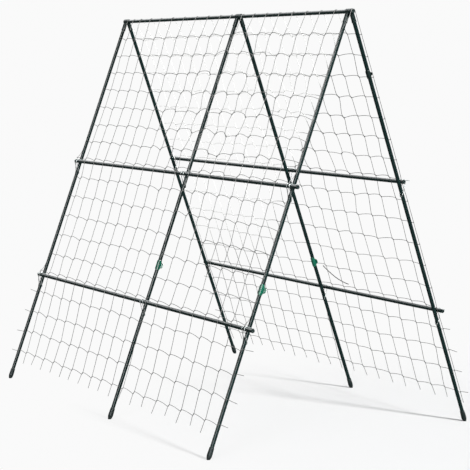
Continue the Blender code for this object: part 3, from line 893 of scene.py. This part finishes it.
def tone_of(points):
    """Pale share of each point: bleaching in slow patches and more with height, and painted washout behind."""
    x, y, z = points.T
    patch = 0.5 + 0.5 * wander(9.0 * x + 4.0 * z, 7.0 * z - 5.0 * x, 23.0 * x + 17.0 * y + 11.0 * z)
    in_front = y < 0.0
    # Painted washout of light: the back half turns almost white where the camera sees it behind the front half.
    seen_through = rise(SEEN_EDGE - SEEN_SLOPE * (RIDGE[2] - z) - x, 0.0, 0.06)
    painted_washout = rise(y, 0.0, 0.02) * rise(z, 0.52, 0.30) * seen_through
    faded = 0.10 * rise(x, -0.35, 0.4) * rise(z, 0.75, 0.25) * in_front
    worn = 0.06 * in_front + 0.10 * patch**2 + 0.08 * rise(z, 0.20, 0.5) + faded
    return np.maximum(worn, 0.97 * painted_washout)


def add_cord(surface, path, reference):
    """A cord along a path, closed at both ends, with its tone."""
    tone = np.clip(tone_of(path) + 0.06 * tones.standard_normal(), 0.0, 1.0)[:, None]
    surface.add_capped(tube(path, CORD_RADIUS, CORD_SIDES, reference), lengths(path), tone)


def add_join(surface, start, end):
    """A bead from one end of a join to the other: radius r sqrt(1 - 0.75 s^2) with blunt ends."""
    share = np.array((-1.0, -0.8, 0.0, 0.8, 1.0))
    radius = JOIN_RADIUS * np.sqrt(1.0 - 0.75 * share**2)
    middle, half = (start + end) / 2.0, (end - start) / 2.0
    length = np.linalg.norm(half) + 1.2 * CORD_RADIUS
    grid = lathe(np.stack((radius, share * length), -1), CORD_SIDES, middle, half)
    surface.add_capped(grid, (share + 1.0) * length, tone_of(middle[None])[0])


def add_loose_strand(surface):
    """A broken strand that hangs off the back half: a smooth curve through four places, thick and dark."""
    places = np.arange(4.0)
    at = np.linspace(0.0, 3.0, 24)
    across, run = (rounded_line(places, values, at, 0.6) for values in LOOSE_STRAND)
    side = SIDES["back"]
    path = in_frame(side, across, net_out(side, across, run) + 3.0 * MM, run)
    surface.add_capped(tube(path, STRAND_RADIUS, 8, Z_AXIS), lengths(path))


net = Surface()
add_loose_strand(net)
for column in range(COLUMNS):
    add_cord(net, long_cord(column), X_AXIS)
for side_name, side in SIDES.items():
    for row in range(len(ROW_RUNS)):
        add_cord(net, cross_cord(side_name, row), outward(side))
    across, run = KNOTS[side_name]
    half_x, half_run = joins(side_name)
    out = net_out(side, across, run)
    starts = in_frame(side, across + half_x, out, run - half_run).reshape(-1, 3)
    ends = in_frame(side, across - half_x, out, run + half_run).reshape(-1, 3)
    for start, end in zip(starts, ends):
        add_join(net, start, end)
climbing_net = net.piece("climbing_net", NET_CORD, 80.0, "tone")
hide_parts("front_net", "back_net")
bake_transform(climbing_net)
print("net faces:", len(climbing_net.data.polygons))

# %% [markdown]
# ## Eyelet caps
#
# A leg ends in a moulded cap: a ring that turns on the ridge bar and a socket for the stake. The ring is a
# lathe turned about the bar, with a soft bevel and a through bore, and the socket is a lathe turned about
# the leg. The socket has a raised bead at its mouth, where moulded sockets are thickened so as not to
# split.

# %% Build the eyelet caps
ROUND = 40
EYELET_RADIUS = 11.1 * MM
SOCKET_RADIUS = 9.5 * MM
SOCKET_TOP = 8.7 * MM
SOCKET_MOUTH = 45.3 * MM
SOCKET_BEAD = 5.0 * MM
BORE_RADIUS = 8.3 * MM
BORE_BEVEL = 0.6 * MM
CAP_BEVEL = 1.6 * MM


def soft_corner(inner, outer):
    """Quarter-ellipse profile points from one (radius, height) to another, bulging outwards."""
    (r0, h0), (r1, h1) = inner, outer
    return [(r0 + (r1 - r0) * math.sin(t), h1 + (h0 - h1) * math.cos(t)) for t in quarter(5)]


def ring_profile(half):
    """The eyelet's closed profile from one face to the other, bevelled inside and out."""
    bore = BORE_RADIUS + BORE_BEVEL
    shoulder = EYELET_RADIUS - CAP_BEVEL
    return [(BORE_RADIUS, BORE_BEVEL - half), (bore, -half),
            *soft_corner((shoulder, -half), (EYELET_RADIUS, CAP_BEVEL - half)),
            *soft_corner((shoulder, half), (EYELET_RADIUS, half - CAP_BEVEL))[::-1],
            (bore, half), (BORE_RADIUS, half - BORE_BEVEL)]


def socket_profile():
    """The socket from its closed top to its beaded mouth."""
    neck = SOCKET_RADIUS - 0.5 * MM
    bead = SOCKET_MOUTH - SOCKET_BEAD
    return [(0.0, SOCKET_TOP), (neck, SOCKET_TOP), *soft_corner((neck, bead - 1.0 * MM), (SOCKET_RADIUS, bead)),
            (SOCKET_RADIUS, SOCKET_MOUTH - 1.2 * MM), (SOCKET_RADIUS - 0.4 * MM, SOCKET_MOUTH - 0.3 * MM),
            (SOCKET_RADIUS - 1.0 * MM, SOCKET_MOUTH), (0.0, SOCKET_MOUTH)]


def eyelet_cap(side_name, place):
    """Ring and socket of one cap. Both are turned forms that share the middle of the ridge bar."""
    node = f"{side_name}_{place}_eyelet_cap"
    low, high = box(node)
    centre = (middle_x(node), *RIDGE[1:])
    surface = Surface()
    add_lathe(surface, ring_profile((high[0] - low[0]) / 2.0), centre, X_AXIS, ROUND, closed=True)
    add_lathe(surface, socket_profile(), centre, down(SIDES[side_name]), ROUND)
    install(surface.piece(f"{side_name}_{place}_cap_moulded", CAP_PLASTIC, 35.0), node,
            BODY[side_name])


for side_name in SIDES:
    for place in PLACES:
        eyelet_cap(side_name, place)

# %% [markdown]
# ## Boots
#
# The boots are moulded teardrops: fattest a third of the way up, closing to a blunt tip, and blending
# into a thin collar on the stake. The profile is a sine for the lower swell and a cosine for the long
# upper taper. A leaning boot would dip below the floor on one side, so every point is lifted to the
# floor, and that is the worn flat of its sole.

# %% Build the boots
BOOT_LENGTH = 47.0 * MM
BOOT_BULGE = 10.3 * MM
BOOT_BULGE_AT = 17.0 * MM
BOOT_TIP = 6.2 * MM
TIP_DEPTH = 4.0 * MM
COLLAR = 9.4 * MM


def boot_profile():
    """From tip to bulge as a sine, from bulge to collar as a cosine, then the collar's soft edge."""
    turn, swell, taper = quarter(7), quarter(9)[1:], 2.0 * quarter(15)[1:]
    taper_length = BOOT_LENGTH - 1.0 * MM - BOOT_BULGE_AT
    tip = BOOT_TIP * np.sin(turn), -TIP_DEPTH * np.cos(turn)
    lower = BOOT_TIP + (BOOT_BULGE - BOOT_TIP) * np.sin(swell), BOOT_BULGE_AT * swell / (math.pi / 2.0)
    upper = (COLLAR + (BOOT_BULGE - COLLAR) * (0.5 + 0.5 * np.cos(taper)),
             BOOT_BULGE_AT + taper_length * taper / math.pi)
    edge = (COLLAR - 0.4 * MM, COLLAR - 1.0 * MM, 0.0), (BOOT_LENGTH - 0.3 * MM, BOOT_LENGTH, BOOT_LENGTH)
    return np.concatenate([np.column_stack(part) for part in (tip, lower, upper, edge)])


def boot(side_name, place):
    """One boot, turned about its leg and flattened where it stands on the floor."""
    side = SIDES[side_name]
    node = f"{side_name}_{place}_foot"
    points = boot_profile()
    grid = lathe(points, ROUND, in_frame(side, middle_x(node), 0.0, LEG_RUN), -down(side))
    grid[..., 2] = np.maximum(grid[..., 2], 0.0)
    surface = Surface()
    surface.add(grid, lengths(points))
    install(surface.piece(f"{side_name}_{place}_boot", BOOT_PLASTIC, 60.0), node, BODY[side_name])


for side_name in SIDES:
    for place in PLACES:
        boot(side_name, place)

# %% [markdown]
# ## End plugs
#
# A plug closes each end of a bar. The left ends are domed, the right ends have a raised rim round a shallow
# recess that catches the light. Each is a short lathe turned about the bar.

# %% Build the plugs
PLUG_ROUND = 32
PLUG_EDGE = STAKE_RADIUS - 0.05 * MM
DOME_START = 3.0 * MM


def dome_profile(reach):
    """A dome from the plug's rim to its middle: a quarter ellipse."""
    height = reach - DOME_START
    dome = [(PLUG_EDGE * math.cos(t), DOME_START + height * math.sin(t)) for t in quarter(9)[:-1]]
    return dome + [(0.0, reach)]


def rim_profile(reach):
    """A rounded rim and a shallow recess, as millimetres inwards from the edge and down from the top."""
    rim = ((0.0, 0.8), (0.3, 0.2), (0.9, 0.0), (1.7, 0.0), (2.3, 0.3), (2.8, 1.1))
    floor = ((1.2, 1.2), (0.8, 1.5), (0.0, 1.6))
    return [*((PLUG_EDGE - inward * MM, reach - depth * MM) for inward, depth in rim),
            *((radius * MM, reach - depth * MM) for radius, depth in floor)]


def end_plug(bar, which, body):
    """A plug head at one end of a bar: the left ones are domed and the right ones rimmed."""
    name = f"{bar}_{which}_plug"
    low, high = box(name)
    left, right = bar_ends(bar)
    if which == "left":
        face, outwards, head = left, -X_AXIS, dome_profile(left[0] - low[0])
    else:
        face, outwards, head = right, X_AXIS, rim_profile(high[0] - right[0])
    foot = [(0.0, 0.3 * MM), (PLUG_EDGE - 0.5 * MM, 0.3 * MM), (PLUG_EDGE, 0.8 * MM)]
    surface = Surface()
    add_lathe(surface, foot + head, face, outwards, PLUG_ROUND)
    install(surface.piece(f"{name}_moulded", CAP_PLASTIC, 35.0), name, body)


BARS = {"ridge_bar": "back_frame"}
for side_name in SIDES:
    for level in LEVELS:
        BARS[f"{side_name}_{level}_bar"] = BODY[side_name]
for bar, body in BARS.items():
    end_plug(bar, "left", body)
    end_plug(bar, "right", body)

# %% [markdown]
# ## Wire clips
#
# A sprung wire holds each bar to a leg. Its bight passes behind the leg, both arms slant up to the bar and
# hook over its outer side. The left hook ends on top of the bar, and the right one turns and lies along the
# bar as a tail that the fingers push. It is one wire, so it is one path: hook, arm, bight, arm, hook, tail.
# The arms and the bight lie in one leaning plane and each hook lies in a plane square to the bar, so
# neighbouring stretches always meet without a corner.

# %% Build the wire clips
WIRE_RADIUS = 1.25 * MM
WIRE_SIDES = 12
WIRE_BEND = STAKE_RADIUS + 0.3 * MM + WIRE_RADIUS
WIRE_DROP = 40.0 * MM
TAIL_LENGTH = 38.0 * MM
TAIL_SWING = 5.0 * MM
LEFT_HOOK_END = math.radians(150.0)
RIGHT_HOOK_END = math.radians(72.0)
TAIL_LIFT = 0.5
LEFT_STEPS = 22
RIGHT_STEPS = 16


def wire_path():
    """The wire's middle line as (across, outward, up) and, for each point, a direction square to it."""
    reach = math.hypot(BAR_STANDOFF, WIRE_DROP)
    touch = math.atan2(-WIRE_DROP, -BAR_STANDOFF) + math.acos(WIRE_BEND / reach)
    arm_normal = np.array((0.0, math.cos(touch), math.sin(touch)))

    def hook(across, angle):
        ring = np.stack((np.cos(angle), np.sin(angle)), -1)
        middle = np.stack((across, BAR_STANDOFF + WIRE_BEND * ring[:, 0], WIRE_BEND * ring[:, 1]), -1)
        return middle, np.stack((0.0 * angle, ring[:, 0], ring[:, 1]), -1)

    left, left_normal = hook(np.full(LEFT_STEPS, -WIRE_BEND), np.linspace(touch, LEFT_HOOK_END, LEFT_STEPS))
    right, right_normal = hook(np.full(RIGHT_STEPS, WIRE_BEND), np.linspace(touch, RIGHT_HOOK_END, RIGHT_STEPS))
    turn = quarter(9)[1:]
    swing = TAIL_SWING * (1.0 - np.cos(turn))
    bend, bend_normal = hook(WIRE_BEND + swing, RIGHT_HOOK_END + TAIL_LIFT * np.sin(turn))
    tail_start = WIRE_BEND + TAIL_SWING
    tail_x = np.linspace(tail_start, tail_start + TAIL_LENGTH, 8)[1:]
    tail, tail_normal = hook(tail_x, np.full(len(tail_x), RIGHT_HOOK_END + TAIL_LIFT))
    slope = (left[0, 2] + WIRE_DROP) / left[0, 1]
    angle = np.linspace(math.pi, 0.0, 25)
    inward = WIRE_BEND * np.sin(angle)
    bight = np.stack((WIRE_BEND * np.cos(angle), -inward, -WIRE_DROP - slope * inward), -1)
    share = np.linspace(0.0, 1.0, 6)[1:-1, None]
    left_arm = left[0] + (bight[0] - left[0]) * share
    right_arm = bight[-1] + (right[0] - bight[-1]) * share
    path = np.concatenate((left[::-1], left_arm, bight, right_arm, right, bend, tail))
    straight = np.broadcast_to(arm_normal, (len(left_arm) + len(bight) + len(right_arm), 3))
    normal = np.concatenate((left_normal[::-1], straight, right_normal, bend_normal, tail_normal))
    return path, normal


def wire_clip(side_name, level, place):
    """The wire path set into a frame at one crossing, as a tube with rounded ends."""
    side = SIDES[side_name]
    node = f"{side_name}_{level}_{place}_wire_clip"
    run = UPPER_RUN if level == "upper" else LOWER_RUN
    path, normal = wire_path()
    path = in_frame(side, middle_x(node) + path[:, 0], path[:, 1], run - path[:, 2])
    normal = normal @ np.array((X_AXIS, outward(side), -down(side)))
    radius = np.full(len(path), WIRE_RADIUS)
    radius[0] = radius[-1] = 0.7 * WIRE_RADIUS
    surface = Surface()
    surface.add_capped(tube(path, radius, WIRE_SIDES, normal), lengths(path))
    install(surface.piece(f"{node}_sprung", SPRING_WIRE, 60.0), node, BODY[side_name])


for side_name in SIDES:
    for level in LEVELS:
        for place in PLACES:
            wire_clip(side_name, level, place)

# %% [markdown]
# ## Snap clips
#
# Four snap clips pin the net's cords to the legs. Each is a springy shell round the stake, boat-shaped when
# seen from its back, with a thumb tab that turns outwards. The shell is a rounded bar of plastic, wide along
# the leg and thin through its wall, carried round the stake and then out along the tab. Its width follows
# an ellipse, so its ends are rounded like a boat's.

# %% Build the snap clips
CLIP_WALL = 2.0 * MM
LEG_OFFSET = 9.65 * MM
LARGE_CLIP = (44.0, 9.5, 24.0)
SMALL_CLIP = (34.0, 8.0, 13.0)
CLIP_LIP = math.radians(-115.0)
SHELL_END = math.radians(75.0)
SHELL_TAPER = math.radians(140.0)
SHELL_STEPS = 28
TAB_STEPS = 9
SECTION_SIDES = 20
TAB_ANGLE = math.radians(88.0)
CLIP_TURN = {"front": math.radians(55.0), "back": math.radians(-148.0)}
CLIP_HEIGHTS = {"front_middle": 0.631, "front_right": 0.624, "back_middle": 0.598, "back_right": 1.436}


def clip_section():
    """A rounded bar's outline as (along the wall's width, through its thickness): a superellipse."""
    angle = np.arange(SECTION_SIDES) * TAU / SECTION_SIDES
    wide = np.sign(np.cos(angle)) * np.abs(np.cos(angle)) ** 0.35
    thick = np.sign(np.sin(angle)) * np.abs(np.sin(angle)) ** 0.6
    return wide, thick


def snap_clip(which, height, sizes, material):
    """One clip: the section carried round an arc of 190 degrees and out along the tab.

    The sizes are the clip's length, the tab's reach and the tab's length in millimetres.
    """
    side_name, place = which.split("_")
    side = SIDES[side_name]
    middle = BORE_RADIUS + CLIP_WALL / 2.0
    clip_length, tab_reach, tab_length = (MM * size for size in sizes)
    shell = np.linspace(CLIP_LIP, SHELL_END, SHELL_STEPS)
    shell_half = 0.5 * clip_length * np.sqrt(1.0 - (shell / SHELL_TAPER) ** 2)
    share = np.linspace(0.0, 1.0, TAB_STEPS)
    tab = np.full(TAB_STEPS, TAB_ANGLE)
    tab_half = 0.5 * tab_length * np.sqrt(1.0 - (0.9 * share) ** 2)
    angle = np.concatenate((shell, tab))
    radius = np.concatenate((np.full(SHELL_STEPS, middle), middle + share * tab_reach))
    half = np.concatenate((shell_half, tab_half))
    first, last = SHELL_STEPS - 2, SHELL_STEPS + 2
    half[first:last] = np.linspace(half[first], half[last], 4)
    flat = np.stack((-radius * np.sin(angle), radius * np.cos(angle)), -1)
    step = np.gradient(flat, axis=0)
    step /= np.linalg.norm(step, axis=1, keepdims=True)
    through = np.stack((step[:, 1], -step[:, 0]), -1)
    wide, thick = clip_section()
    wall = flat[:, None, :] + through[:, None, :] * (0.5 * CLIP_WALL * thick)[None, :, None]
    turn = CLIP_TURN[side_name]
    across = wall[..., 0] * math.cos(turn) - wall[..., 1] * math.sin(turn)
    out = wall[..., 0] * math.sin(turn) + wall[..., 1] * math.cos(turn)
    run = (RIDGE[2] - height) / math.cos(LEAN)
    along_leg = half[:, None] * wide[None, :]
    leg_x = FRAME_X[PLACES.index(place)] + side * LEG_OFFSET
    grid = in_frame(side, leg_x + side * across, out, run - along_leg)
    surface = Surface()
    surface.add_capped(grid, lengths(flat))
    made = surface.piece(f"{which}_snap_clip", material, 50.0, turn_out=True)
    install(made, f"{which}_net_clip", BODY[side_name])


for which, height in CLIP_HEIGHTS.items():
    if which == "back_right":
        snap_clip(which, height, SMALL_CLIP, CAP_PLASTIC)
    else:
        snap_clip(which, height, LARGE_CLIP, CLIP_GREEN)

# %% [markdown]
# The CAD solids that these pieces replace stay hidden in the frame. They still get their finishes, so that
# nothing is left plain if a solid is shown again.

# %% Finish the CAD nodes
FINISH_OF = {"eyelet_cap": CAP_PLASTIC, "foot": BOOT_PLASTIC, "plug": CAP_PLASTIC, "wire_clip": SPRING_WIRE,
             "net_clip": CLIP_GREEN, "leg": STAKE_SKIN, "bar": STAKE_SKIN, "net": NET_CORD}
for node, thing in frame["nodes"].items():
    ending = next(key for key in FINISH_OF if node.endswith(key))
    thing.data.materials.clear()
    thing.data.materials.append(FINISH_OF[ending])

# %% [markdown]
# ## The studio
#
# A pale floor takes a soft shadow and fades into the white backdrop, so no horizon shows. The fade is a mix
# between the floor's own paint and plain white light, which only the camera sees. It is centred on the back
# right foot, so this painted white light also covers the shadows of the other legs, and only that foot's
# shadow stays clear. The key lamp stands low on the right, as the photograph's shadows say, and the sky
# fills the rest.

# %% Floor
FLOOR_SIZE = 60.0
FADE_CENTRE = (0.9, 0.65, 0.0)
FADE_START = 0.45
FADE_END = 1.8
BACKDROP = (0.955, 0.955, 0.955)
MIRRORED_FLOOR = 0.07


def floor_paint():
    """Matt pale paint that turns to the backdrop's white away from the back right foot, whose shadow is
    the clearest in the photograph. That white is painted light over the other legs' shadows. Reflections see
    the floor dimmer."""
    finish = Finish("floor paint")
    where = finish.place()
    paint = finish.colour_mix(finish.noise(where, 1.5, 2.0), (0.758,) * 3, (0.768,) * 3)
    finish.set(Base_Color=paint, Roughness=0.9, Specular_IOR_Level=0.1)
    far = finish.node("ShaderNodeVectorMath", {"operation": "DISTANCE"}, {0: where, 1: FADE_CENTRE}, "Value")
    white = finish.node("ShaderNodeEmission", sockets={"Color": BACKDROP, "Strength": 1.0})
    dim = finish.node("ShaderNodeEmission", sockets={"Color": (1.0, 1.0, 1.0), "Strength": MIRRORED_FLOOR})
    # Painted light: away from the back right foot the camera sees white in place of the floor's shadows.
    seen = finish.mix_shader(finish.step(far, FADE_START, FADE_END) * finish.ray("Camera"),
                             Value(finish, finish.shader.outputs[0]), white)
    seen = finish.mix_shader(finish.ray("Glossy"), seen, dim)
    finish.plug(finish.tree.nodes["Material Output"].inputs["Surface"], seen)
    return finish.material


floor_mesh = bpy.data.meshes.new("floor")
half = FLOOR_SIZE / 2.0
corners = [(-half, -half, 0.0), (half, -half, 0.0), (half, half, 0.0), (-half, half, 0.0)]
floor_mesh.from_pydata(corners, [], [(0, 1, 2, 3)])
floor_mesh.materials.append(floor_paint())
floor = new_object("floor", floor_mesh)

# %% Sky and lamps
LIGHT_FROM = (1.637, 0.375, 1.0)
PANEL_AZIMUTH = math.radians(-48.0)
PANEL_HALF_WIDTH = math.radians(10.0)
PANEL = 4.5
PANEL_SHINE = 5.0
CEILING = 0.25
FAR_PANEL = 2.2
ROOM = 0.05
ROOM_TINT = (0.975, 0.99, 1.0)
KEY_SPREAD = math.radians(7.0)
KEY_STRENGTH = 4.9


def studio_sky():
    """Pale backdrop where the camera looks. For everything else a dim room with bright panels.

    A stake shows a long panel as a stripe. One stands beside the camera for the legs. The bars mirror the
    upper far left instead, so one hangs there that only a shine sees. The ceiling lights the rest. The
    share of a panel that a direction sees is a smooth step of its height, or of its angle to a plane.
    """
    world = bpy.data.worlds.new("studio")
    bpy.context.scene.world = world
    sky = Nodes(world)
    where = sky.node("ShaderNodeTexCoord", output="Generated")
    x, y, z = (sky.split(where, axis) for axis in "XYZ")
    shine = sky.ray("Glossy")
    angle = y.maths("ARCTAN2", y, x) - PANEL_AZIMUTH
    beside = angle.maths("ABSOLUTE", angle)
    panel = sky.step(beside, PANEL_HALF_WIDTH, 0.8 * PANEL_HALF_WIDTH) * sky.step(z, -0.25, 0.0)
    far_panel = sky.step(x, -0.62, -0.74) * sky.step(z, 0.26, 0.40) * shine
    above = CEILING * sky.step(z, 0.25, 0.75) + FAR_PANEL * far_panel
    strength = ROOM + (panel * (PANEL + PANEL_SHINE * shine) + above)
    room = sky.tree.nodes["Background"]
    sky.plug(room.inputs["Strength"], strength)
    sky.plug(room.inputs["Color"], ROOM_TINT)
    backdrop = sky.node("ShaderNodeBackground", sockets={"Color": BACKDROP})
    seen = sky.mix_shader(sky.ray("Camera"), Value(sky, room.outputs[0]), backdrop)
    sky.plug(sky.tree.nodes["World Output"].inputs["Surface"], seen)


def key_lamp():
    """A far lamp with a wide disc, as a softbox looks from a long way off."""
    lamp = bpy.data.lights.new("key", "SUN")
    lamp.angle = KEY_SPREAD
    lamp.energy = KEY_STRENGTH
    thing = new_object("key", lamp)
    thing.rotation_mode = "QUATERNION"
    thing.rotation_quaternion = Vector(LIGHT_FROM).to_track_quat("Z", "Y")


studio_sky()
key_lamp()
bpy.context.scene.view_settings.view_transform = "Standard"
